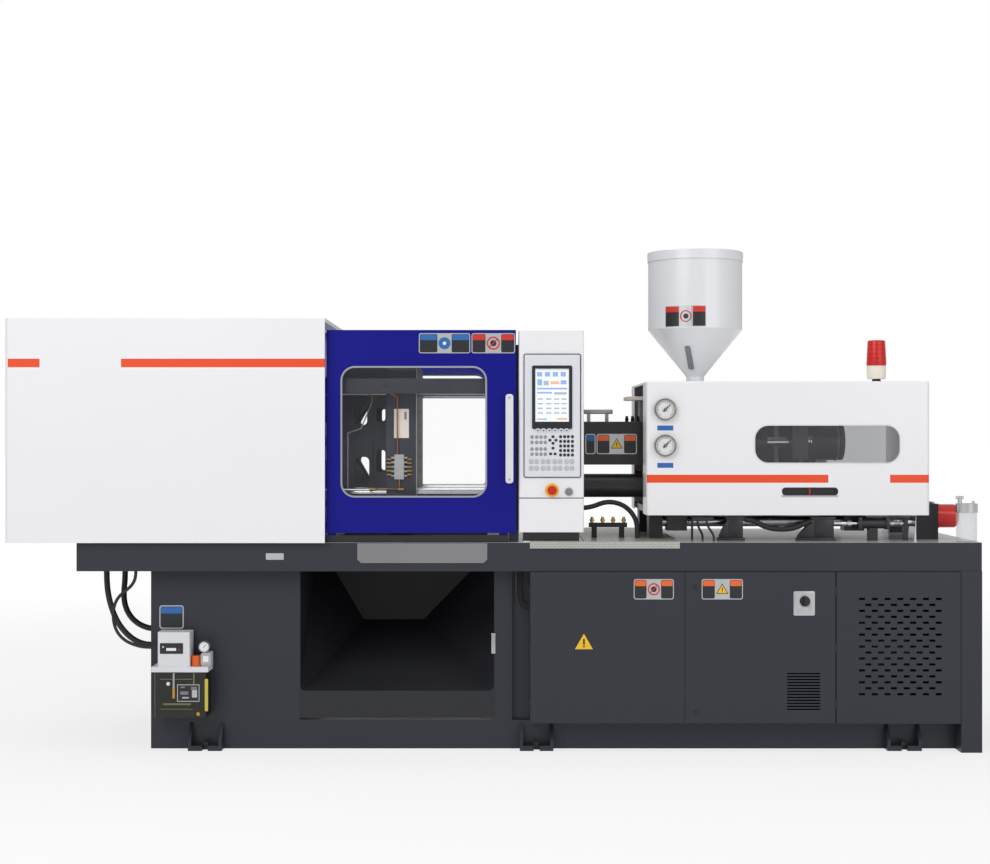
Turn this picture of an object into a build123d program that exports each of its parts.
from build123d import *
import math
import os

# Injection moulding machine, millimetres: clamp on the left, hopper on the right, operator at -Y, +Z up

# Machine envelope
machine_length = 4214.0
machine_depth = 1100.0
left_end = -machine_length / 2
right_end = machine_length / 2
front_face = -machine_depth / 2
rear_face = machine_depth / 2

# Bed
bed_top = 907.0
beam_height = 124.0
beam_bottom = bed_top - beam_height
beam_left = -1803.0
bed_inset = 25.0
beam_inset = 5.0
beam_wall = 12.0
beam_flange = 75.0
base_setback = 125.0
base_left = -1501.0
skid_height = 125.0
skid_width = 80.0
pedestal_right = -851.0
post_left = 4.0
post_width = 75.0
leg_width = 90.0
leg_depth = 180.0
drop_left = -700.0
drop_right = -30.0
drop_half_width = 190.0

# Cabinets in the bed
cabinet_left = 155.0
cabinet_wall = 4.0
cabinet_mid = 1475.0
cabinet_right = 2015.0
door_thickness = 3.0
door_edge = 20.0
door_gap = 2.0
tank_front = 30.0

# Clamp axis and platens
axis_height = 1340.0
platen_half_height = 345.0
platen_half_width = machine_depth * 16 / 55
tie_bar_diameter = 60.0
tie_bar_offset = platen_half_width - 87.0
running_fit = 0.05
moving_front = -344.0
moving_thickness = 134.0
stationary_left = 150.0
stationary_thickness = 150.0
tail_thickness = 150.0
platen_clearance = 0.3

# Toggle
clamp_stroke = 280.0
link_length = 280.0
closed_angle = 3.0
hinge_offset = 300.0
tail_lug_length = 190.0
moving_lug_length = 82.0
pin_diameter = 50.0
eye_radius = 45.0
rear_link_inner = 60.0
rear_link_outer = 100.0
front_link_outer = 140.0
link_side_gap = 0.5
fifth_radius = 170.0
fifth_angle = 20.0
cross_link_length = 150.0
crosshead_height = 95.0
crosshead_half_length = 35.0

# Clamp covers
cover_left = left_end
cover_right = -727.0
cover_top = 1875.0
cover_sheet = 3.0
cover_return = 30.0
cover_top_return = 70.0
cover_corner = 22.0
bridge_height = 48.0

# Safety doors
door_left = -726.0
door_right = 95.0
door_bottom = 948.0
door_top = 1826.0
door_setback = 40.0
door_depth = 34.0
door_sheet = 3.0
window_left = -664.0
window_right = -30.0
window_bottom = 1101.0
window_top = 1670.0
window_corner = 62.0
window_rebate = 14.0
pane_thickness = 5.0
handle_left = 50.0
handle_right = 83.0
handle_bottom = 1164.0
handle_top = 1548.0
track_bottom = 1552.0
track_top = 1618.0
track_depth = 40.0
track_post_top = 1764.0
sill_height = 30.0

# Control column
column_left = 107.0
column_right = 389.0
column_bottom = 951.0
column_top = 1823.0
column_depth = machine_depth * 21 / 110
panel_left = 131.0
panel_right = 373.0
panel_bottom = 1190.0
panel_top = 1720.0
panel_proud = 4.0
screen_left = 180.0
screen_right = 322.0
screen_bottom = 1430.0
screen_top = 1653.0

# Injection unit
carriage_left = 680.0
carriage_right = 1760.0
carriage_plate = 28.0
carriage_bottom = 1022.0
rail_height = 985.0
rail_diameter = 46.0
rail_offset = 250.0
injection_cover_left = 669.0
injection_cover_right = 1914.0
injection_cover_half = 400.0
injection_cover_bottom = 1019.0
injection_cover_top = 1608.0
injection_cover_sheet = 3.0
injection_stroke = 90.0
housing_left = 850.0
housing_right = 1010.0
hopper_x = 931.0
hopper_radius = 216.0
hopper_wall = 3.0
hopper_lid_radius = 220.0
hopper_top = 2212.0
hopper_cylinder_bottom = 1856.0
hopper_neck_radius = 41.0
hopper_neck_top = 1640.0
lid_skirt = 43.0
lid_thickness = 3.0
barrel_diameter = 120.0
screw_diameter = 45.0
screw_clearance = 0.1
drive_left = 1350.0
drive_right = 1420.0

# Derived levels and places
bed_face = front_face + bed_inset
bed_rear = rear_face - bed_inset
beam_front = bed_face + beam_inset
beam_rear = bed_rear - beam_inset
base_front = front_face + base_setback
base_rear = rear_face - base_setback
platen_bottom = axis_height - platen_half_height
platen_top = axis_height + platen_half_height
tread_left = cabinet_left
tread_right = 802.0
tread_thickness = 5.0
tread_fold = 25.0
deck_level = bed_top + tread_thickness

os.makedirs("parts", exist_ok=True)


# Shape helpers
def block(x0, x1, y0, y1, z0, z1):
    """A box between two corners."""
    centre = Pos((x0 + x1) / 2, (y0 + y1) / 2, (z0 + z1) / 2)
    return centre * Box(abs(x1 - x0), abs(y1 - y0), abs(z1 - z0))


def rod_x(x0, x1, y, z, diameter):
    """A round bar along X."""
    return extrude(Plane.YZ.offset(x0) * Pos(y, z) * Circle(diameter / 2), x1 - x0)


def rod_y(y0, y1, x, z, diameter):
    """A round bar along Y."""
    return extrude(Plane.XZ.offset(-y1) * Pos(x, z) * Circle(diameter / 2), y1 - y0)


def rod_z(z0, z1, x, y, diameter):
    """A round bar along Z."""
    return extrude(Plane.XY.offset(z0) * Pos(x, y) * Circle(diameter / 2), z1 - z0)


def sheet_xz(outline, y0, y1):
    """An outline drawn in X and Z, thick from y0 to y1."""
    return extrude(Plane.XZ.offset(-y1) * outline, y1 - y0)


def sheet_yz(outline, x0, x1):
    """An outline drawn in Y and Z, thick from x0 to x1."""
    return extrude(Plane.YZ.offset(x0) * outline, x1 - x0)


def rounded(x0, x1, z0, z1, radius):
    """A rectangle with round corners between two corners."""
    return Pos((x0 + x1) / 2, (z0 + z1) / 2) * RectangleRounded(x1 - x0, z1 - z0, radius)


def area(x0, x1, z0, z1):
    """A plain rectangle between two corners."""
    return Pos((x0 + x1) / 2, (z0 + z1) / 2) * Rectangle(x1 - x0, z1 - z0)


def save(name, *solids):
    """Write one node, each of its solids kept separate."""
    pieces = [solid for shape in solids for solid in shape.solids()]
    shape = pieces[0] if len(pieces) == 1 else Compound(children=pieces)
    export_step(shape, "parts/" + name + ".step")


# Bed beam: a welded box with an open underside, cross webs and the drop opening under the mould
def upper_frame():
    beam = block(beam_left, right_end, beam_front, beam_rear, beam_bottom, bed_top)
    inner_front = beam_front + beam_wall
    inner_rear = beam_rear - beam_wall
    stations = [beam_left + beam_wall, base_left, pedestal_right, post_left, cabinet_left,
                cabinet_mid, right_end - beam_wall]
    for index in range(len(stations) - 1):
        bay_left = stations[index] + (beam_wall if index else 0)
        bay_right = stations[index + 1]
        beam -= block(bay_left, bay_right, inner_front, inner_rear, beam_bottom + beam_wall,
                      bed_top - beam_wall)
        if index:
            beam -= block(bay_left, bay_right, beam_front + beam_flange, beam_rear - beam_flange,
                          beam_bottom, bed_top - beam_wall)
    beam -= block(drop_left, drop_right, -drop_half_width, drop_half_width, beam_bottom, bed_top)
    save("upper_frame", beam)


# Bed base: skid rails, clamp pedestal, posts, end leg and levelling feet
skid_crossings = [pedestal_right, post_left, cabinet_left, cabinet_mid]
foot_places = [(-1329.0, -1182.0), (112.0, 258.0), (1708.0, 1857.0)]
foot_reach = 60.0
recess_depth = 25.0
recess_plate = 8.0
foot_plate = 22.0
foot_wall = 14.0
foot_slot = 26.0
leg_arch_height = 125.0


def foot_bracket(x0, x1, side):
    """A levelling foot: slotted sole with two gusset plates, welded to the skid."""
    wall_y = side * (machine_depth / 2 - base_setback)
    tip_y = wall_y + side * foot_reach
    middle = (x0 + x1) / 2
    sole = block(x0, x1, min(wall_y, tip_y), max(wall_y, tip_y), 0, foot_plate)
    sole -= block(middle - foot_slot / 2, middle + foot_slot / 2, min(tip_y, tip_y - side * 34),
                  max(tip_y, tip_y - side * 34), 0, foot_plate)
    profile = Polyline((wall_y, foot_plate), (tip_y, foot_plate), (tip_y, foot_plate + 24),
                       (wall_y, skid_height - 9), close=True)
    for edge in (x0, x1 - foot_wall):
        sole += sheet_yz(make_face(profile), edge, edge + foot_wall)
    return sole


def lower_frame():
    frame = block(base_left, pedestal_right, base_front, base_rear, 0, beam_bottom)
    skid_end = right_end - leg_width
    for side in (-1, 1):
        outer = side * (machine_depth / 2 - base_setback)
        inner = outer - side * skid_width
        frame += block(pedestal_right, skid_end, min(outer, inner), max(outer, inner), 0, skid_height)
        frame += block(post_left, post_left + post_width, min(outer, inner), max(outer, inner),
                       skid_height, beam_bottom)
    frame += block(post_left + post_width, cabinet_left, base_front + recess_depth,
                   base_front + recess_depth + recess_plate, skid_height, beam_bottom)
    for place in skid_crossings:
        frame += block(place, place + skid_width, base_front + skid_width, base_rear - skid_width,
                       0, skid_height)
    leg = block(skid_end, right_end, bed_face, bed_rear, 0, beam_bottom)
    leg -= block(skid_end, right_end, bed_face + leg_depth, bed_rear - leg_depth, 0, leg_arch_height)
    frame += leg
    for x0, x1 in foot_places:
        frame += foot_bracket(x0, x1, -1)
        frame += foot_bracket(x0, x1, 1)
    save("lower_frame", frame)


# Cabinet casing: electrical bay, pump bay and the closed oil tank behind them
vent_left = cabinet_mid + 3.0
vent_right = cabinet_right
casing_front = bed_face + door_edge + 4.0
hinge_levels = [190.0, 434.0, 678.0]
hinge_height = 40.0
hinge_gap = 0.3


def cabinet_casing():
    floor_level = skid_height
    casing_right = cabinet_right
    casing = block(cabinet_left, casing_right, casing_front, beam_rear, floor_level, beam_bottom)
    casing -= block(cabinet_left + cabinet_wall, cabinet_mid, casing_front, tank_front,
                    floor_level + cabinet_wall, beam_bottom - cabinet_wall)
    casing -= block(cabinet_mid + cabinet_wall, casing_right - cabinet_wall, casing_front, tank_front,
                    floor_level + cabinet_wall, beam_bottom - cabinet_wall)
    for z in hinge_levels:
        left_hinge = cabinet_left + door_gap - hinge_gap
        right_hinge = cabinet_mid - door_gap / 2 + hinge_gap
        casing += block(left_hinge - 4, left_hinge, bed_face + 5, casing_front, z, z + hinge_height)
        casing += block(right_hinge, right_hinge + 3, bed_face + 5, casing_front, z, z + hinge_height)
    save("cabinet_casing", casing)


# Product chute: folded sheet tray that rises and narrows to the back, with its lip panel
chute_sheet = 4.0
chute_left = pedestal_right
chute_right = post_left
chute_lip = 242.0
chute_back_level = 470.0
chute_back_left = -640.0
chute_back_right = -340.0
chute_back = 420.0
chute_frame = 10.0


def chute_form(inset, overshoot):
    """The closed form of the chute; inset and overshoot make the space inside it."""
    front_y = base_front + 1.0 - overshoot
    back_y = chute_back - inset
    left = chute_left + inset
    right = chute_right - inset
    low = chute_lip - chute_sheet + inset
    high = chute_back_level - chute_sheet + inset
    top = beam_bottom + overshoot
    floor_left = chute_back_left + inset
    floor_right = chute_back_right - inset
    corners = [
        (left, front_y, low), (right, front_y, low), (right, front_y, top), (left, front_y, top),
        (floor_left, back_y, high), (floor_right, back_y, high), (right, back_y, top), (left, back_y, top),
    ]
    loops = [
        (0, 1, 2, 3), (0, 1, 5, 4), (3, 2, 6, 7), (4, 5, 6, 7),
        (0, 4, 7), (0, 7, 3), (1, 2, 6), (1, 6, 5),
    ]
    faces = [make_face(Polyline(*[corners[i] for i in loop], close=True)).face() for loop in loops]
    return Solid(Shell(faces))


def discharge_chute():
    tray = chute_form(0.0, 0.0) - chute_form(chute_sheet, 40.0)
    lip = block(chute_left, chute_right, base_front + 1.0, base_front + 7.0,
                skid_height + chute_frame, chute_lip - chute_sheet)
    save("discharge_chute", tray + lip)


# Plates on the bed: apron below the door, tread plate with folded edges, louvred and slotted vent panel
apron_left = -590.0
apron_right = -29.0
apron_bottom = 819.0
apron_top = 904.0
apron_chamfer = 16.0
vent_bottom = skid_height
vent_slot_length = 26.0
vent_slot_height = 10.0
vent_rows = 17
vent_columns = 7
vent_row_pitch = 25.7
vent_column_pitch = 55.2
vent_first_x = 1588.0
vent_first_z = 253.0


def apron_plate():
    outline = area(apron_left, apron_right, apron_bottom, apron_top)
    plate = sheet_xz(outline, bed_face, beam_front)
    low_edges = plate.edges().filter_by(Axis.Y).group_by(Axis.Z)[0]
    save("apron_plate", chamfer(low_edges, apron_chamfer))


def tread_plate():
    plate = block(tread_left, tread_right, bed_face, bed_rear, bed_top - tread_fold, deck_level)
    plate -= block(tread_left, tread_right, beam_front, beam_rear, bed_top - tread_fold, bed_top)
    notch_front = front_face + door_setback + 10
    plate -= block(tread_left, column_right + 3, notch_front, -notch_front, bed_top, deck_level)
    save("tread_plate", plate)


def vent_panel():
    outline = area(vent_left, vent_right, vent_bottom, beam_bottom - door_gap)
    slots = []
    for row in range(vent_rows):
        shift = vent_column_pitch / 2 if row % 2 else 0
        for column in range(vent_columns - row % 2):
            x = vent_first_x + shift + column * vent_column_pitch
            z = vent_first_z + row * vent_row_pitch
            slots.append(Pos(x, z) * Rectangle(vent_slot_length, vent_slot_height))
    panel = sheet_xz(outline - slots, bed_face, bed_face + door_thickness)
    for x in (vent_left, vent_right - cabinet_wall):
        panel += block(x, x + cabinet_wall, bed_face + door_thickness, casing_front,
                       vent_bottom, beam_bottom - door_gap)
    save("vent_panel", panel)


# Inside the cabinets: mounting plate with drives and contactors, motor with pump
switch_plate_y = tank_front - 12.0
standoff_inset = 120.0
standoff_width = 20.0
# Height, depth, pitch and width of the devices in each row
switchgear_rows = [(90, 75, 62, 54), (120, 90, 84, 74), (70, 60, 48, 42)]


def switchgear():
    plate = block(cabinet_left + 60, cabinet_mid - 60, switch_plate_y, switch_plate_y + 3,
                  skid_height + 50, beam_bottom - 50)
    for x in (cabinet_left + standoff_inset, cabinet_mid - standoff_inset - standoff_width):
        plate += block(x, x + standoff_width, switch_plate_y + 3, tank_front,
                       skid_height + 90, beam_bottom - 90)
    for row, (height, depth, pitch, width) in enumerate(switchgear_rows):
        z = skid_height + 110 + row * 190
        rail = block(cabinet_left + 90, cabinet_mid - 90, switch_plate_y - 8, switch_plate_y,
                     z + height / 2 - 17, z + height / 2 + 17)
        plate += rail
        count = int((cabinet_mid - cabinet_left - 240) // pitch)
        for index in range(0, count, 2):
            x = cabinet_left + 110 + index * pitch
            plate += block(x, x + width * 1.7, switch_plate_y - 8 - depth, switch_plate_y - 8, z, z + height)
    save("switchgear", plate)


pump_axis = 400.0
pump_y = -260.0
motor_diameter = 240.0
pump_motor_length = 300.0
coupling_length = 60.0
pump_length = 90.0


def pump_unit():
    motor_left = cabinet_mid + 60
    motor_right = motor_left + pump_motor_length
    coupling_right = motor_right + coupling_length
    motor = rod_x(motor_left, motor_right, pump_y, pump_axis, motor_diameter)
    motor += rod_x(motor_left - 30, motor_left, pump_y, pump_axis, motor_diameter - 20)
    for index in range(12):
        turn = Pos(0, pump_y, pump_axis) * Rot(index * 30, 0, 0)
        motor += turn * block(motor_left + 20, motor_right - 20, -4, 4, motor_diameter / 2 - 4,
                              motor_diameter / 2 + 12)
    motor += block(motor_left + 90, motor_left + 200, pump_y - 55, pump_y + 55,
                   pump_axis + motor_diameter / 2 - 8, pump_axis + motor_diameter / 2 + 60)
    motor += rod_x(motor_right, coupling_right, pump_y, pump_axis, 170)
    motor += rod_x(coupling_right, coupling_right + pump_length, pump_y, pump_axis, 110)
    foot_level = skid_height + cabinet_wall
    motor += block(motor_left + 30, motor_right - 30, pump_y - 100, pump_y + 100, foot_level, foot_level + 30)
    motor += block(motor_left + 60, motor_right - 60, pump_y - 60, pump_y + 60, foot_level + 30, pump_axis)
    save("pump_unit", motor)


# Cabinet doors with folded edges, hinge knuckles on the outer edges
cabinet_split = 824.0
louvre_left = 1265.0
louvre_right = 1408.0
louvre_bottom = 185.0
louvre_top = 352.0
louvre_count = 13
switch_plate_left = 1292.0
switch_plate_right = 1385.0
switch_plate_bottom = 592.0
switch_plate_top = 698.0
switch_knob_x = 1342.0
switch_knob_z = 654.0
switch_stem = 16.0
hinge_radius = 3.5


def door_pan(x0, x1):
    """A flat door with its edges folded inward."""
    z0 = skid_height + door_gap
    z1 = beam_bottom - door_gap
    back = bed_face + door_edge
    pan = block(x0, x1, bed_face, back, z0, z1)
    pan -= block(x0 + door_thickness, x1 - door_thickness, bed_face + door_thickness, back,
                 z0 + door_thickness, z1 - door_thickness)
    return pan


def knuckles(x):
    """Round hinge knuckles on a door's hinge axis."""
    first, *others = [rod_z(z, z + hinge_height, x, bed_face, 2 * hinge_radius) for z in hinge_levels]
    for knuckle in others:
        first += knuckle
    return first


def cabinet_doors():
    left = door_pan(cabinet_left + door_gap, cabinet_split - door_gap / 2)
    left += knuckles(cabinet_left + door_gap)
    save("cabinet_door_left", left)
    right = door_pan(cabinet_split + door_gap / 2, cabinet_mid - door_gap / 2)
    pitch = (louvre_top - louvre_bottom) / louvre_count
    for index in range(louvre_count):
        z = louvre_bottom + index * pitch
        right -= block(louvre_left, louvre_right, bed_face, bed_face + door_thickness, z, z + pitch * 0.45)
    plate = area(switch_plate_left, switch_plate_right, switch_plate_bottom, switch_plate_top)
    recess = sheet_xz(plate, bed_face, bed_face + 1.0)
    right -= recess
    right -= rod_y(bed_face, bed_face + door_edge, switch_knob_x, switch_knob_z,
                   switch_stem + 2 * running_fit)
    right += knuckles(cabinet_mid - door_gap / 2)
    save("cabinet_door_right", right)


knob_diameter = 42.0
knob_thickness = 9.0
knob_reach = 23.0
grip_width = 12.0


def switch_knob():
    x, z = switch_knob_x, switch_knob_z
    knob = rod_y(bed_face + 1.0, bed_face + door_edge + 20, x, z, switch_stem)
    knob += rod_y(bed_face + 1.0 - knob_thickness, bed_face + 1.0, x, z, knob_diameter)
    grip = rounded(x - grip_width / 2, x + grip_width / 2, z - knob_diameter / 2, z + knob_diameter / 2, 4)
    knob += sheet_xz(grip, bed_face - knob_reach, bed_face + 1.0 - knob_thickness)
    save("switch_knob", knob)


# Platens with bored corners for the tie bars
def platen(x0, x1, foot):
    """A cast platen with tie-bar bores and, where foot is more than nothing, feet on the bed."""
    body = sheet_yz(rounded(-platen_half_width, platen_half_width, platen_bottom, platen_top, 40), x0, x1)
    for y in (-tie_bar_offset, tie_bar_offset):
        for z in (axis_height - tie_bar_offset, axis_height + tie_bar_offset):
            body -= rod_x(x0, x1, y, z, tie_bar_diameter + 2 * running_fit)
        if foot:
            body += block(x0 + 15, x1 - 15, y - 45, y + 45, bed_top + foot - 1, platen_bottom + 20)
    return body


stationary_right = stationary_left + stationary_thickness
sprue_diameter = 100.0
moving_back = moving_front - moving_thickness
moving_hinge = moving_back - moving_lug_length
open_angle = math.degrees(math.acos(math.cos(math.radians(closed_angle)) - clamp_stroke / (2 * link_length)))
tail_hinge = moving_hinge - 2 * link_length * math.cos(math.radians(open_angle))
tail_front = tail_hinge - tail_lug_length
tail_back = tail_front - tail_thickness
rod_diameter = 60.0
guide_rod_diameter = 36.0
guide_rod_offset = 175.0
guide_rod_length = 330.0
lug_outer = rear_link_inner - link_side_gap
ejector_diameter = 30.0
ejector_plate_clearance = 6.0


cheek_left = moving_back - 212.0
cheek_bottom = platen_bottom + 10.0
cheek_top = platen_top - 5.0
cheek_inner = tie_bar_offset - 57.0
cheek_thickness = 20.0
cheek_holes = [(-632.0, -573.0, 1416.0, 1556.0), (-532.0, -491.0, 1434.0, 1493.0),
               (-632.0, -564.0, 1150.0, 1272.0), (-534.0, -491.0, 1204.0, 1303.0)]


def hinge_lug(hinge_x, wall_x, offset, inner, outer):
    """Two plates that carry a hinge pin in front of a platen wall."""
    lug = None
    z = axis_height + offset
    for side in (-1, 1):
        y0, y1 = sorted((side * inner, side * outer))
        near_x, far_x = sorted((hinge_x, wall_x))
        web = sheet_xz(area(near_x, far_x, z - eye_radius, z + eye_radius), y0, y1)
        web += rod_y(y0, y1, hinge_x, z, 2 * eye_radius)
        web -= rod_y(y0, y1, hinge_x, z, pin_diameter + 2 * running_fit)
        lug = web if lug is None else lug + web
    return lug


def tail_platen():
    body = platen(tail_back, tail_front, 1.0)
    body -= rod_x(tail_back, tail_front, 0, axis_height, rod_diameter + 8)
    for offset in (-hinge_offset, hinge_offset):
        body += hinge_lug(tail_hinge, tail_front, offset, 20.0, lug_outer)
    for side in (-1, 1):
        body += rod_x(tail_front, tail_front + guide_rod_length, side * guide_rod_offset,
                      axis_height, guide_rod_diameter)
    save("tail_platen", body)


def cheek_outline():
    """The side plate behind the moving platen, with its four sight holes."""
    outline = rounded(cheek_left, moving_back, cheek_bottom, cheek_top, 30)
    outline += area(moving_back - 60, moving_back, cheek_bottom, cheek_top)
    for x0, x1, z0, z1 in cheek_holes:
        outline -= rounded(x0, x1, z0, z1, min(x1 - x0, z1 - z0) * 0.3)
    return outline


def moving_platen():
    body = platen(moving_back, moving_front, 1.0 + platen_clearance)
    for side in (-1, 1):
        near_y, far_y = sorted((side * cheek_inner, side * (cheek_inner + cheek_thickness)))
        body += sheet_xz(cheek_outline(), near_y, far_y)
    for offset in (-hinge_offset, hinge_offset):
        body += hinge_lug(moving_hinge, moving_back, offset, rear_link_inner, rear_link_outer)
    body -= rod_x(moving_back, moving_front, 0, axis_height, ejector_diameter + 2 * running_fit)
    hole_pitch = 70.0
    for row in (-2, -1, 1, 2):
        for column in (-2, -1, 1, 2):
            body -= rod_x(moving_front - 30, moving_front, row * hole_pitch,
                          axis_height + column * hole_pitch, 16)
    save("moving_platen", body)


def stationary_platen():
    body = platen(stationary_left, stationary_right, 1.0)
    body -= rod_x(stationary_left, stationary_left + 60, 0, axis_height, sprue_diameter)
    cone = Plane.YZ.offset(stationary_left + 60) * Pos(0, axis_height) * Circle(sprue_diameter / 2)
    mouth = Plane.YZ.offset(stationary_right) * Pos(0, axis_height) * Circle(sprue_diameter)
    body -= loft([cone, mouth])
    hole_pitch = 70.0
    for row in (-2, -1, 1, 2):
        for column in (-2, -1, 1, 2):
            body -= rod_x(stationary_left, stationary_left + 30, row * hole_pitch,
                          axis_height + column * hole_pitch, 16)
    save("stationary_platen", body)


tie_nut_diameter = 100.0
tie_nut_thickness = 55.0


def tie_bars():
    bars = []
    for y in (-tie_bar_offset, tie_bar_offset):
        for z in (axis_height - tie_bar_offset, axis_height + tie_bar_offset):
            bar = rod_x(tail_back - tie_nut_thickness, stationary_right + tie_nut_thickness,
                        y, z, tie_bar_diameter)
            for x in (tail_back - tie_nut_thickness, stationary_right):
                nut = Plane.YZ.offset(x) * Pos(y, z) * RegularPolygon(tie_nut_diameter / 2, 6)
                bar += extrude(nut, tie_nut_thickness)
            bars.append(bar)
    save("tie_bars", *bars)


# Toggle linkage: rear links, front links and cross links, drawn in the open position
def swing(radius, angle):
    """The offset of a point that lies radius away, angle degrees below +X, on the upper set."""
    return radius * math.cos(math.radians(angle)), -radius * math.sin(math.radians(angle))


def fifth_point(angle):
    """The place of the cross-link pin against the tail hinge, at a rear-link angle."""
    return swing(fifth_radius, angle + fifth_angle)


def crosshead_x(angle):
    """Where the crosshead pin stands against the tail hinge, at a rear-link angle."""
    x, drop = fifth_point(angle)
    rise = hinge_offset + drop - crosshead_height
    return x - math.sqrt(cross_link_length ** 2 - rise ** 2)


crosshead_rest = tail_hinge + crosshead_x(open_angle)
crosshead_travel = crosshead_x(closed_angle) - crosshead_x(open_angle)
cross_pin_diameter = 36.0
cross_eye = 30.0
cross_web = 25.0
crosshead_lug_outer = 90.0


def bar_between(start, end, width):
    """A bar with round ends between two points of the XZ plane."""
    length = math.dist(start, end)
    turn = math.degrees(math.atan2(end[1] - start[1], end[0] - start[0]))
    middle = Pos((start[0] + end[0]) / 2, (start[1] + end[1]) / 2)
    return middle * Rot(0, 0, turn) * SlotCenterToCenter(length, width)


def pair(outline, inner, outer):
    """Two plates of one outline, mirrored across the machine's centre plane."""
    return sheet_xz(outline, -outer, -inner) + sheet_xz(outline, inner, outer)


def toggle_links(name, side):
    """One set of links, above the axis where side is 1 and below it where side is -1."""
    tail = (tail_hinge, axis_height + side * hinge_offset)
    dx, dz = swing(link_length, open_angle)
    knee = (tail[0] + dx, tail[1] + side * dz)
    front = (moving_hinge, tail[1])
    dx, dz = fifth_point(open_angle)
    fifth = (tail[0] + dx, tail[1] + side * dz)
    head = (crosshead_rest, axis_height + side * crosshead_height)

    outline = bar_between(tail, knee, 2 * eye_radius) + bar_between(tail, fifth, 2 * cross_eye)
    rear = pair(outline, rear_link_inner, rear_link_outer)
    rear += rod_y(-rear_link_outer - 5, rear_link_outer + 5, tail[0], tail[1], pin_diameter)
    save("rear_link_" + name, rear)

    inner = rear_link_outer + link_side_gap
    link = pair(bar_between(knee, front, 2 * eye_radius), inner, front_link_outer)
    link += rod_y(-front_link_outer - 5, front_link_outer + 5, front[0], front[1], pin_diameter)
    for y0, y1 in ((-front_link_outer - 5, -front_link_outer), (front_link_outer, front_link_outer + 5)):
        link += rod_y(y0, y1, knee[0], knee[1], pin_diameter)
    save("front_link_" + name, link)

    cross = sheet_xz(bar_between(head, fifth, 2 * cross_web), -cross_web, cross_web)
    for x, z in (head, fifth):
        cross += rod_y(-lug_outer, lug_outer, x, z, 2 * cross_eye)
    cross -= rod_y(-lug_outer, lug_outer, head[0], head[1], cross_pin_diameter + 2 * running_fit)
    save("cross_link_" + name, cross)


# Crosshead on its two guide rods, with the piston rod of the clamp cylinder
cylinder_outer = 170.0
cylinder_bore = 120.0
cylinder_length = 400.0
gland_length = 50.0
piston_length = 50.0
crosshead_half_height = 50.0


def crosshead():
    x0 = crosshead_rest - crosshead_half_length
    x1 = crosshead_rest + crosshead_half_length
    body = block(x0, x1, -100, 100, axis_height - crosshead_half_height, axis_height + crosshead_half_height)
    for side in (-1, 1):
        y0, y1 = sorted((side * 95.0, side * (guide_rod_offset + 35)))
        body += block(x0, x1, y0, y1, axis_height - 32, axis_height + 32)
        body -= rod_x(x0, x1, side * guide_rod_offset, axis_height, guide_rod_diameter + 2 * running_fit)
        z = axis_height + side * crosshead_height
        web = area(x0 + 5, x1 - 5, min(axis_height, z), max(axis_height, z))
        web += Pos(crosshead_rest, z) * Circle(cross_eye)
        body += pair(web, rear_link_inner, crosshead_lug_outer)
    for side in (-1, 1):
        z = axis_height + side * crosshead_height
        body -= rod_y(-lug_outer - link_side_gap, lug_outer + link_side_gap,
                      crosshead_rest, z, 2 * cross_eye + 4)
        body += rod_y(-crosshead_lug_outer, crosshead_lug_outer, crosshead_rest, z, cross_pin_diameter)
    bore_end = tail_back - cylinder_length + 20
    body += rod_x(bore_end + 5 + piston_length, x0, 0, axis_height, rod_diameter)
    body += rod_x(bore_end + 5, bore_end + 5 + piston_length, 0, axis_height, cylinder_bore - 2 * running_fit)
    save("crosshead", body)


def clamp_cylinder():
    left = tail_back - cylinder_length
    body = rod_x(left, tail_back, 0, axis_height, cylinder_outer)
    body += rod_x(tail_back - 30, tail_back, 0, axis_height, cylinder_outer + 70)
    body += rod_x(left, left + 30, 0, axis_height, cylinder_outer + 30)
    body -= rod_x(left + 20, tail_back - gland_length, 0, axis_height, cylinder_bore)
    body -= rod_x(tail_back - gland_length, tail_back, 0, axis_height, rod_diameter + 2 * running_fit)
    for x in (left + 45, tail_back - gland_length - 30):
        body += rod_z(axis_height + cylinder_outer / 2 - 6, axis_height + cylinder_outer / 2 + 22, x, 0, 36)
    save("clamp_cylinder", body)


ejector_stroke = 70.0
ejector_body = 90.0


def ejector():
    plate_left = moving_back - ejector_plate_clearance - ejector_stroke - 22
    body = rod_x(plate_left + 22, moving_front - 5, 0, axis_height, ejector_diameter)
    body += block(plate_left, plate_left + 22, -50, 50, axis_height - 34, axis_height + 34)
    save("ejector", body)


# Distributor block on the front edge of the moving platen, with its row of fittings
distributor_left = -455.0
distributor_right = -385.0
distributor_bottom = 1175.0
distributor_top = 1285.0


def lube_distributor():
    y1 = -platen_half_width
    block_part = block(distributor_left + 14, distributor_right - 14, y1 - 24, y1,
                       distributor_bottom, distributor_top)
    for index in range(5):
        z = distributor_bottom + 15 + index * 20
        block_part += rod_x(distributor_left, distributor_right, y1 - 12, z, 10)
    save("lube_distributor", block_part)


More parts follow.
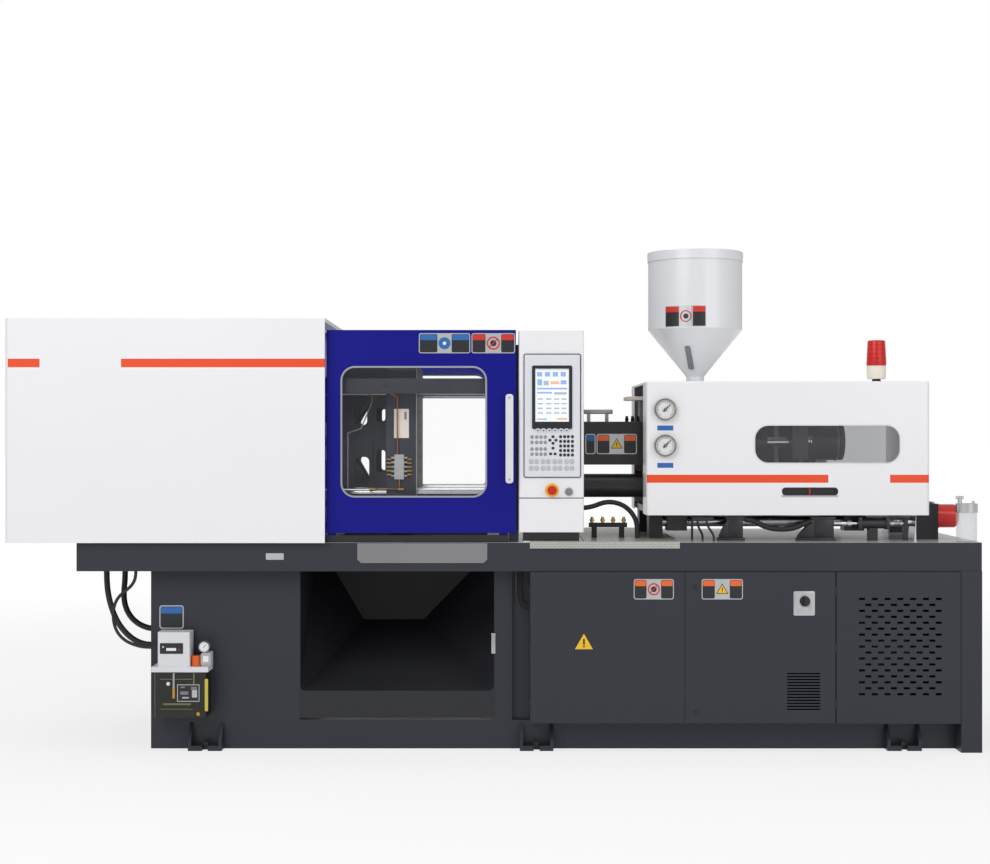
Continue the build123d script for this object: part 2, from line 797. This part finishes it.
# Clamp covers: folded sheet halves with a rolled front corner, top return and bridge over the door
def clamp_cover(name, side):
    x0, x1 = cover_left, cover_right
    sheet = cover_sheet
    outer = block(x0, x1, front_face, -0.5, bed_top, cover_top)
    inner = block(x0 + sheet, x1 - sheet, front_face + sheet, 20, bed_top - 20, cover_top - sheet)
    corner = outer.edges().filter_by(Axis.Z).group_by(Axis.Y)[0].sort_by(Axis.X)[0]
    outer = fillet(corner, cover_corner)
    corner = inner.edges().filter_by(Axis.Z).group_by(Axis.Y)[0].sort_by(Axis.X)[0]
    inner = fillet(corner, cover_corner - sheet)
    shell = outer - inner
    rolled = front_face + cover_top_return
    shell -= block(x0 + cover_top_return, x1 - cover_top_return / 2, rolled, 0, cover_top - sheet, cover_top)
    door_pass = front_face + cover_return
    shell -= block(x1 - sheet, x1, door_pass, 0, bed_top, cover_top - bridge_height)
    top_corner = shell.edges().filter_by(Axis.Y).group_by(Axis.Z)[-1].sort_by(Axis.X)[0]
    shell = fillet(top_corner, cover_sheet * 0.8)
    save(name, shell if side < 0 else mirror(shell, about=Plane.XZ))


# Sliding safety doors with a window and its pane
shoe_places = [(-720.0, -684.0), (24.0, 60.0)]
track_front = -470.0
track_left = -1400.0
track_gap = 0.3


def door_shell():
    y0 = front_face + door_setback
    y1 = y0 + door_depth
    shell = block(door_left, door_right, y0, y1, door_bottom, door_top)
    shell -= block(door_left + door_sheet, door_right - door_sheet, y0 + door_sheet, y1,
                   door_bottom + door_sheet, door_top - door_sheet)
    opening = rounded(window_left, window_right, window_bottom, window_top, window_corner)
    rim = rounded(window_left - 30, window_right + 30, window_bottom - 30, window_top + 30,
                  window_corner + 30)
    shell += sheet_xz(rim, y0 + door_sheet, y1)
    pocket = rounded(window_left - window_rebate, window_right + window_rebate,
                     window_bottom - window_rebate, window_top + window_rebate, window_corner + window_rebate)
    shell -= sheet_xz(pocket, y0 + door_sheet, y0 + door_sheet + pane_thickness)
    shell -= sheet_xz(opening, y0, y1)
    for x0, x1 in shoe_places:
        shell += block(x0, x1, y0 + door_sheet, track_front + track_depth,
                       track_top + track_gap, track_top + 28)
        shell += block(x0, x1, y0 + 12, y0 + 32, bed_top + sill_height + track_gap, door_bottom + door_sheet)
    return shell


def door_pane():
    y0 = front_face + door_setback + door_sheet
    pocket = rounded(window_left - window_rebate, window_right + window_rebate,
                     window_bottom - window_rebate, window_top + window_rebate, window_corner + window_rebate)
    return sheet_xz(pocket, y0, y0 + pane_thickness)


def doors():
    shell = door_shell()
    pane = door_pane()
    save("front_door", shell)
    save("front_window", pane)
    save("rear_door", mirror(shell, about=Plane.XZ))
    save("rear_window", mirror(pane, about=Plane.XZ))


handle_reach = 36.0
handle_bar_depth = 16.0


def front_handle():
    door_y = front_face + door_setback
    tip = door_y - handle_reach
    outline = rounded(handle_left, handle_right, handle_bottom, handle_top, 12)
    bar = sheet_xz(outline, tip, tip + handle_bar_depth)
    for z in (handle_bottom + 50, handle_top - 50):
        bar += rod_y(tip + handle_bar_depth - 2, door_y, (handle_left + handle_right) / 2, z, 20)
    save("front_handle", bar)


def door_tracks():
    rails = []
    for side in (-1, 1):
        y0, y1 = sorted((side * -track_front, side * (-track_front - track_depth)))
        frame = block(track_left, column_left, y0, y1, track_bottom, track_top)
        frame += block(track_left, track_left + 40, y0, y1, bed_top, track_bottom)
        frame += block(column_left - 40, column_left, y0, y1, bed_top, track_post_top)
        sill_y = sorted((side * (front_face + door_setback + 12), side * (front_face + door_setback + 32)))
        sill = block(track_left, column_left - 45, sill_y[0], sill_y[1], bed_top, bed_top + sill_height)
        rails += [frame, sill]
    save("door_tracks", *rails)


# Control column with its operating panel and push buttons
column_y = front_face + door_setback
estop_x = 250.7
estop_z = 1132.7
start_x = 324.0
start_z = 1126.0
button_stem = 22.0
button_depth = 40.0
seam_height = 1099.0
estop_head = 40.0
start_head = 28.0


def control_housing():
    body = block(column_left, column_right, column_y, column_y + column_depth - 40, column_bottom, column_top)
    body = fillet(body.edges().filter_by(Axis.Z).group_by(Axis.Y)[0], 10)
    body += block(column_left + 20, column_right - 20, column_y + 20, column_y + 150, bed_top, column_bottom)
    body -= block(column_left, column_right, column_y, column_y + 1.5, seam_height - 1.5, seam_height + 1.5)
    for x, z in ((estop_x, estop_z), (start_x, start_z)):
        body -= rod_y(column_y, column_y + button_depth, x, z, button_stem + 2 * running_fit)
    save("control_housing", body)


def control_panel():
    face = sheet_xz(rounded(panel_left, panel_right, panel_bottom, panel_top, 8),
                    column_y - panel_proud, column_y)
    bezel = rounded(screen_left - 17, screen_right + 17, screen_bottom - 34, screen_top + 20, 8)
    bezel -= area(screen_left, screen_right, screen_bottom, screen_top)
    face += sheet_xz(bezel, column_y - panel_proud - 6, column_y - panel_proud)
    save("control_panel", face)


def mushroom_profile(x, z, head, reach):
    """A push button turned about its stem."""
    y = column_y
    radius = head / 2
    points = [(0, 26), (button_stem / 2, 26), (button_stem / 2, -8), (radius, -10), (radius, -reach + 6),
              (radius - 6, -reach), (0, -reach)]
    profile = make_face(Plane.XY * Polyline(*[(x + r, y + along) for r, along in points], close=True))
    turned = revolve(profile, Axis((x, y, 0), (0, 1, 0)))
    return Pos(0, 0, z) * turned


def push_buttons():
    save("estop_button", mushroom_profile(estop_x, estop_z, estop_head, 32))
    save("start_button", mushroom_profile(start_x, start_z, start_head, 18))


# Carriage rails with end pedestals, and the fixed rods of the nozzle cylinders
pedestal_half = 55.0
front_pedestal = (690.0, 750.0)
rear_pedestal = (1880.0, 1976.0)
pedestal_top = 1016.0
rear_pedestal_top = 1064.0
touch_offset = 130.0
touch_level = 1138.0
touch_rod = 30.0
touch_body = 100.0
touch_left = 407.0
touch_right = 700.0


def carriage_rails():
    parts = []
    for side in (-1, 1):
        y = side * rail_offset
        rail = rod_x(front_pedestal[0], rear_pedestal[0] + 10, y, rail_height, rail_diameter)
        rail += block(*front_pedestal, y - pedestal_half, y + pedestal_half, deck_level, pedestal_top)
        column = Polyline((rear_pedestal[0] - 10, bed_top), (rear_pedestal[1], bed_top),
                          (rear_pedestal[1], rear_pedestal_top), (rear_pedestal[0], rear_pedestal_top),
                          close=True)
        rail += sheet_xz(make_face(column), y - pedestal_half, y + pedestal_half)
        parts.append(rail)
        parts.append(rod_x(stationary_right, touch_right - 40, side * touch_offset, touch_level, touch_rod))
    save("carriage_rails", *parts)


# Carriage: base plate with slide bushes and outriggers, feed housing and injection cylinders
bush_places = [(770.0, 860.0), (1560.0, 1650.0)]
outrigger_places = [760.0, 1600.0]
housing_half = 150.0
housing_top = 1450.0
plate_top = carriage_bottom + carriage_plate
ram_offset = 115.0
ram_outer = 100.0
ram_rod = 45.0
ram_right = 1240.0
ram_rod_end = 1150.0
carriage_half = 300.0
throat_diameter = 60.0


valve_left = housing_right + 70.0
valve_right = valve_left + 250.0
valve_front = 200.0
valve_rear = 290.0
valve_top = 1430.0


def carriage_base():
    body = block(carriage_left, carriage_right - 90, -carriage_half, carriage_half,
                 carriage_bottom, plate_top)
    for side in (-1, 1):
        y = side * rail_offset
        for x0, x1 in bush_places:
            body += block(x0, x1, y - 42, y + 42, rail_height - 40, carriage_bottom)
            body -= rod_x(x0, x1, y, rail_height, rail_diameter + 2 * running_fit)
        y = side * touch_offset
        body += block(carriage_left + 20, carriage_left + 80, y - 60, y + 60, plate_top, touch_level + 60)
        body += rod_x(touch_left, carriage_left + 20, y, touch_level, touch_body)
        body -= rod_x(touch_left, touch_right - 25, y, touch_level, touch_rod + 2 * running_fit)
    reach = injection_cover_half - injection_cover_sheet
    for x in outrigger_places:
        body += block(x, x + 40, -reach, reach, plate_top, plate_top + 20)
    housing = block(housing_left, housing_right, -housing_half, housing_half, plate_top, housing_top)
    housing -= rod_x(housing_left, housing_right, 0, axis_height, screw_diameter + 2 * screw_clearance)
    housing -= rod_z(axis_height, housing_top, hopper_x, 0, throat_diameter)
    for side in (-1, 1):
        housing += rod_x(housing_right, ram_right, side * ram_offset, axis_height, ram_outer)
        housing -= rod_x(housing_right + 10, ram_right, side * ram_offset, axis_height,
                         ram_rod + 2 * running_fit)
    body += block(valve_left, valve_right, valve_front, valve_rear, plate_top, valve_top)
    save("carriage_base", body + housing)


# Barrel with its heater bands and nozzle
nozzle_tip = 225.0
nozzle_diameter = 36.0
barrel_left = 440.0
band_width = 62.0
band_pitch = 72.0
band_count = 5
band_thickness = 7.0
tip_clearance = 18.0


def barrel():
    profile = [(nozzle_tip, 0), (nozzle_tip, 10), (nozzle_tip + 10, nozzle_diameter / 2),
               (barrel_left - 60, nozzle_diameter / 2), (barrel_left - 60, 34), (barrel_left - 30, 34),
               (barrel_left, barrel_diameter / 2), (housing_left, barrel_diameter / 2), (housing_left, 0)]
    turned = revolve(make_face(Polyline(*profile, close=True)), Axis.X)
    for index in range(band_count):
        x = barrel_left + 15 + index * band_pitch
        turned += rod_x(x, x + band_width, 0, 0, barrel_diameter + 2 * band_thickness)
        turned += block(x + 16, x + band_width - 16, -10, 10, 0, barrel_diameter / 2 + band_thickness + 16)
    bore = screw_diameter + 2 * screw_clearance
    turned -= rod_x(barrel_left - 40, housing_left, 0, 0, bore)
    turned -= rod_x(nozzle_tip, barrel_left - 40, 0, 0, 8)
    save("barrel", Pos(0, 0, axis_height) * turned)


guard_left = 406.0
guard_bottom = 1236.0
guard_top = 1432.0
guard_half = 148.0
guard_sheet = 3.0


def barrel_guard():
    guard = block(guard_left, housing_left, -guard_half, guard_half, guard_bottom, guard_top)
    guard -= block(guard_left, housing_left, -guard_half + guard_sheet, guard_half - guard_sheet,
                   guard_bottom, guard_top - guard_sheet)
    guard = chamfer(guard.edges().filter_by(Axis.X).group_by(Axis.Z)[-1], guard_sheet * 0.9)
    save("barrel_guard", guard)


# Injection cover: folded sheet hood open below, with window, stroke slot and hopper hole
cover_window = (1144.0, 1784.0, 1247.0, 1415.0)
cover_window_corner = 61.0
slot_left = 1269.0
slot_right = 1506.0
slot_bottom = 1111.0
slot_top = 1136.0
cover_left_return = 165.0
cover_right_lip = 1075.0


def injection_cover():
    x0, x1 = injection_cover_left, injection_cover_right
    half, sheet = injection_cover_half, injection_cover_sheet
    outer = block(x0, x1, -half, half, injection_cover_bottom, injection_cover_top)
    outer = fillet(outer.edges().filter_by(Axis.Z), 16)
    outer = fillet(outer.faces().sort_by(Axis.Z)[-1].edges(), 8)
    inner = block(x0 + sheet, x1 - sheet, -half + sheet, half - sheet, injection_cover_bottom - 20,
                  injection_cover_top - sheet)
    inner = fillet(inner.edges().filter_by(Axis.Z), 16 - sheet)
    hood = outer - inner
    hood -= block(x0 - 1, x0 + sheet, -half + cover_left_return, half - cover_left_return,
                  injection_cover_bottom, injection_cover_top - 12)
    hood -= block(x1 - sheet, x1 + 1, -half + 20, half - 20, injection_cover_bottom, cover_right_lip)
    left, right, low, high = cover_window
    hood -= sheet_xz(rounded(left, right, low, high, cover_window_corner), -half, -half + sheet)
    hood -= sheet_xz(area(slot_left, slot_right, slot_bottom, slot_top), -half, -half + sheet)
    hood -= rod_z(injection_cover_top - 10, injection_cover_top, hopper_x, 0, 2 * hopper_neck_radius + 12)
    save("injection_cover", hood)


# Hopper and the lid that rests on its rim
flange_radius = 70.0
flange_thickness = 12.0


def hopper():
    wall = hopper_wall
    rim = hopper_top - lid_thickness
    flange_top = housing_top + flange_thickness
    bore = hopper_neck_radius - wall
    outer = [(hopper_neck_radius, housing_top), (flange_radius, housing_top),
             (flange_radius, flange_top), (hopper_neck_radius, flange_top),
             (hopper_neck_radius, hopper_neck_top), (hopper_radius, hopper_cylinder_bottom),
             (hopper_radius, rim)]
    inner = [(hopper_radius - wall, rim), (hopper_radius - wall, hopper_cylinder_bottom + wall / 2),
             (bore, hopper_neck_top + wall / 2), (bore, housing_top)]
    profile = Plane.XZ * make_face(Polyline(*(outer + inner), close=True))
    save("hopper", Pos(hopper_x, 0, 0) * revolve(profile, Axis.Z))


def hopper_lid():
    top = hopper_top
    points = [(0, top - lid_thickness), (hopper_lid_radius - 3, top - lid_thickness),
              (hopper_lid_radius - 3, top - lid_skirt), (hopper_lid_radius, top - lid_skirt),
              (hopper_lid_radius, top - 2), (hopper_lid_radius - 2, top), (0, top)]
    profile = Plane.XZ * make_face(Polyline(*points, close=True))
    save("hopper_lid", Pos(hopper_x, 0, 0) * revolve(profile, Axis.Z))


# Pressure gauges with a pointer each
gauge_x = 751.0
gauge_levels = {"upper": 1483.4, "lower": 1324.9}
gauge_diameter = 96.0
gauge_depth = 24.0
gauge_wall = 4.0
gauge_recess = 14.0
needle_stem = 6.0
needle_hub = 13.0
needle_length = 33.0
needle_thickness = 1.5
needle_rest = -45.0


def gauges():
    cases = []
    tip = -injection_cover_half - gauge_depth
    for name, z in gauge_levels.items():
        case = rod_y(tip, -injection_cover_half, gauge_x, z, gauge_diameter)
        case -= rod_y(tip, tip + gauge_recess, gauge_x, z, gauge_diameter - 2 * gauge_wall)
        case += rod_y(tip + 5, tip + gauge_recess, gauge_x, z, needle_stem)
        cases.append(case)
        tail = Polyline((-4, -12), (4, -12), (1, needle_length), (-1, needle_length), close=True)
        pointer = Circle(needle_hub / 2) + make_face(tail) - Circle(needle_stem / 2 + running_fit)
        pointer = Pos(gauge_x, z) * Rot(0, 0, needle_rest) * pointer
        save("needle_" + name, sheet_xz(pointer, tip + 7, tip + 7 + needle_thickness))
    save("pressure_gauges", *cases)


# Signal lamp: stem, socket and bevelled lens
lamp_x = 1698.0
lamp_y = -300.0
lamp_base = 1680.0
lamp_top = 1792.0
lamp_radius = 43.0


def beacon():
    z0 = injection_cover_top
    base = [(0, z0), (22, z0), (14, z0 + 12), (34, z0 + 18), (36, lamp_base), (0, lamp_base)]
    lens = [(0, lamp_base), (lamp_radius, lamp_base), (lamp_radius - 1, lamp_top - 14),
            (lamp_radius - 10, lamp_top), (0, lamp_top)]
    shapes = [revolve(Plane.XZ * make_face(Polyline(*points, close=True)), Axis.Z) for points in (base, lens)]
    save("beacon", *[Pos(lamp_x, lamp_y, 0) * shape for shape in shapes])


# Injection drive: plate on the rams, hydraulic motor, stroke pointer and the screw it turns
drive_half_width = 190.0
drive_half_height = 100.0
motor_right = 1610.0
motor_outer = 170.0
screw_tip = barrel_left - 40.0 + injection_stroke + tip_clearance
screw_end = 1460.0
flight_depth = 7.0
flight_pitch = 45.0


def drive_plate():
    low = axis_height - drive_half_height
    high = axis_height + drive_half_height
    plate = sheet_yz(rounded(-drive_half_width, drive_half_width, low, high, 30), drive_left, drive_right)
    plate += rod_x(drive_right, drive_right + 60, 0, axis_height, motor_outer + 30)
    plate += rod_x(drive_right + 60, motor_right, 0, axis_height, motor_outer)
    plate += block(drive_right + 90, motor_right - 30, -60, 60,
                   axis_height, axis_height + motor_outer / 2 + 40)
    for side in (-1, 1):
        plate += rod_x(ram_rod_end, drive_left, side * ram_offset, axis_height, ram_rod)
    pointer_x = (slot_left + slot_right) / 2 - 1.5
    plate += block(pointer_x - 8, pointer_x + 8, -drive_half_width, -drive_half_width + 12,
                   slot_bottom + 4, low + 30)
    inside = -injection_cover_half + injection_cover_sheet + 1.0
    plate += block(pointer_x - 3, pointer_x + 3, inside, -drive_half_width, slot_bottom + 4, slot_top - 8)
    plate -= rod_x(drive_left, screw_end + 10, 0, axis_height, screw_diameter + 2 * running_fit)
    save("drive_plate", plate)


def screw():
    core = screw_diameter - 2 * flight_depth
    body = rod_x(hopper_x + 60, screw_end, 0, axis_height, screw_diameter)
    body += rod_x(screw_tip, hopper_x + 60, 0, axis_height, core)
    x = screw_tip + 20
    while x < hopper_x + 40:
        body += rod_x(x, x + 8, 0, axis_height, screw_diameter)
        x += flight_pitch
    cone = Plane.YZ.offset(screw_tip) * Pos(0, axis_height) * Circle(core / 2)
    point = Plane.YZ.offset(screw_tip - 14) * Pos(0, axis_height) * Circle(4)
    body += loft([point, cone])
    save("screw", body)


# Lubricator on the pedestal: oil tank below, pump head with gauge and filler above
tank_left = -1464.0
tank_right = -1239.0
tank_bottom = 154.0
tank_top = 350.0
tank_front_y = base_front - 112.0


def lubricator():
    tank = block(tank_left, tank_right, tank_front_y, base_front, tank_bottom, tank_top)
    tank = fillet(tank.edges().filter_by(Axis.Z).group_by(Axis.Y)[0], 12)
    save("lube_tank", tank)
    lid = block(tank_left - 12, tank_right + 8, tank_front_y - 4, base_front, tank_top, tank_top + 22)
    head = block(-1451, -1312, tank_front_y + 8, base_front - 12, tank_top + 22, 521)
    head = fillet(head.edges().filter_by(Axis.Z), 6)
    pump = lid + head
    pump += rod_z(tank_top + 22, tank_top + 34, -1288, tank_front_y + 40, 34)
    pump += rod_z(tank_top + 34, tank_top + 66, -1288, tank_front_y + 40, 42)
    pump += block(-1262, -1226, tank_front_y + 20, base_front - 20, tank_top + 22, 430)
    pump += rod_z(425, 436, -1254, tank_front_y + 40, 14)
    pump += rod_y(tank_front_y + 28, tank_front_y + 52, -1254, 455, 46)
    save("lube_pump", pump)


# Cooling water manifold on two posts, red return filter and clear strainer bowl
manifold_y = -245.0
manifold_left = 425.0
manifold_right = 596.0
manifold_level = 968.0


def water_manifold():
    rail = block(manifold_left, manifold_right, manifold_y - 12, manifold_y + 12,
                 manifold_level - 10, manifold_level + 10)
    for x in (manifold_left + 12, manifold_right - 36):
        rail += block(x, x + 24, manifold_y - 4, manifold_y + 4, deck_level, manifold_level - 10)
    for index in range(4):
        x = manifold_left + 14 + index * 47.5
        rail += rod_z(manifold_level + 10, manifold_level + 36, x, manifold_y, 13)
        rail += rod_z(manifold_level + 16, manifold_level + 26, x, manifold_y, 20)
    save("water_manifold", rail)


def return_filter():
    x = rear_pedestal[1]
    level = 1009.0
    body = rod_x(x, x + 14, -rail_offset, level, 110)
    can = rod_x(x + 14, x + 98, -rail_offset, level, 104)
    can = fillet(can.edges().group_by(Axis.X)[-1], 18)
    save("return_filter", body + can)


strainer_x = 2056.0
strainer_y = -468.0
strainer_radius = 44.0
strainer_cap_level = 1035.0
strainer_cap_height = 38.0
strainer_valve_height = 33.0
strainer_valve_offset = 30.0


def strainer():
    cap_top = strainer_cap_level + strainer_cap_height
    valve_top = cap_top + strainer_valve_height
    valve_x = strainer_x - strainer_valve_offset
    bowl = rod_z(bed_top, strainer_cap_level, strainer_x, strainer_y, 2 * strainer_radius)
    cap = rod_z(strainer_cap_level, cap_top, strainer_x, strainer_y, 2 * strainer_radius + 6)
    valve = rod_z(cap_top, valve_top, valve_x, strainer_y, 18)
    valve += rod_x(valve_x - 16, valve_x + 16, strainer_y, valve_top - 6, 12)
    save("water_strainer", bowl + cap + valve)


# Hoses and cable: straight runs joined by arcs as large as their runs allow
hose_diameter = 26.0
cable_diameter = 14.0
clamp_hose_front_route = [(-1717, -330, 783), (-1717, -330, 713), (-1707, -328, 644), (-1689, -325, 581),
                          (-1664, -321, 529), (-1633, -318, 490), (-1601, -316, 463), (-1568, -315, 447),
                          (-1535, -315, 440), (-1501, -315, 440)]
clamp_hose_back_route = [(-1662, -210, 783), (-1662, -210, 726), (-1667, -212, 674), (-1666, -215, 627),
                         (-1656, -218, 590), (-1637, -221, 556), (-1610, -223, 529), (-1576, -224, 510),
                         (-1539, -224, 500), (-1501, -224, 500)]
lube_cable_route = [(-1556, -478, 783), (-1556, -478, 757), (-1564, -479, 733), (-1579, -480, 712),
                    (-1604, -481, 692), (-1629, -482, 670), (-1646, -483, 640), (-1653, -484, 605),
                    (-1652, -485, 566), (-1641, -486, 526), (-1618, -487, 494), (-1586, -487, 471),
                    (-1548, -486, 457), (-1513, -486, 450), (-1451, -486, 450)]
deck_hose_diameter = 22.0
deck_hose_route = [(300, -285, 1052), (350, -285, 1052), (398, -285, 1045), (444, -284, 1053),
                   (491, -284, 1072), (540, -284, 1072), (586, -284, 1053), (621, -285, 1018),
                   (640, -285, 972), (640, -285, 912)]


def tube(name, route, diameter):
    """A hose along straight runs with tangent arcs at its corners."""
    points = [Vector(*point) for point in route]
    radii = []
    for before, corner, after in zip(points, points[1:], points[2:]):
        run_in = corner - before
        run_out = after - corner
        turn = math.radians(run_in.get_angle(run_out))
        radii.append(0.45 * min(run_in.length, run_out.length) / math.tan(turn / 2))
    path = FilletPolyline(*points, radius=radii)
    section = Plane(origin=path @ 0, z_dir=path % 0) * Circle(diameter / 2)
    hose = sweep(section, path=path)
    print(name, "least radius", round(min(radii)), "length", round(path.length),
          "volume ratio", round(hose.volume / (math.pi * diameter ** 2 / 4 * path.length), 4))
    save(name, hose)


def hoses():
    tube("clamp_hose_front", clamp_hose_front_route, hose_diameter)
    tube("clamp_hose_back", clamp_hose_back_route, hose_diameter)
    tube("lube_cable", lube_cable_route, cable_diameter)
    tube("deck_hose", deck_hose_route, deck_hose_diameter)


upper_frame()
lower_frame()
cabinet_casing()
discharge_chute()
apron_plate()
tread_plate()
vent_panel()
switchgear()
pump_unit()
cabinet_doors()
switch_knob()
tail_platen()
moving_platen()
stationary_platen()
tie_bars()
toggle_links("upper", 1)
toggle_links("lower", -1)
crosshead()
clamp_cylinder()
ejector()
lube_distributor()
clamp_cover("clamp_front_cover", -1)
clamp_cover("clamp_rear_cover", 1)
doors()
front_handle()
door_tracks()
control_housing()
control_panel()
push_buttons()
carriage_rails()
carriage_base()
barrel()
barrel_guard()
injection_cover()
hopper()
hopper_lid()
gauges()
beacon()
drive_plate()
screw()
lubricator()
water_manifold()
return_filter()
strainer()
hoses()
